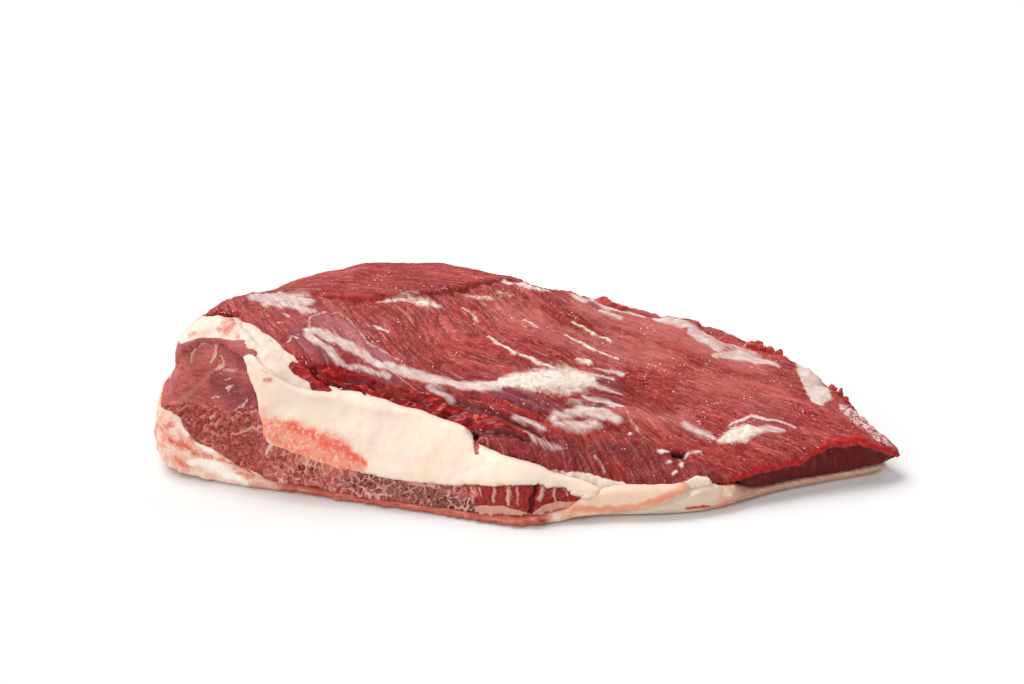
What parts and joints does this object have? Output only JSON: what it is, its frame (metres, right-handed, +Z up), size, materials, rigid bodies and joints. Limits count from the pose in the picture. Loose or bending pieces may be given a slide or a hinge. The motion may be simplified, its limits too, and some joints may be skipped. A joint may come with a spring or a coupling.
{
  "type": "raw beef brisket",
  "caption": "Whole raw beef brisket lying on its fat cap with the lean side up, thick point end to thin flat end.",
  "frame": {"origin": "on the table, under the middle of the brisket's bounding box", "axes": "+X along the brisket from the thick point end to the thin flat end, +Y from the open front edge to the back, +Z up through the lean side"},
  "size_m": [0.471, 0.2485, 0.0933],
  "materials": {
    "flat_muscle": "wet, fine-grained raw lean beef, glossy",
    "seam_fat": "cream hard fat, waxy and slightly moist",
    "point_muscle": "wet, coarse-grained marbled raw beef",
    "fat_cap": "pinkish soft fat with thin lean streaks"
  },
  "bodies": {
    "root": {"flat_muscle": "flat_muscle", "seam_fat": "seam_fat", "point_muscle": "point_muscle", "fat_cap": "fat_cap"}
  },
  "joints": []
}
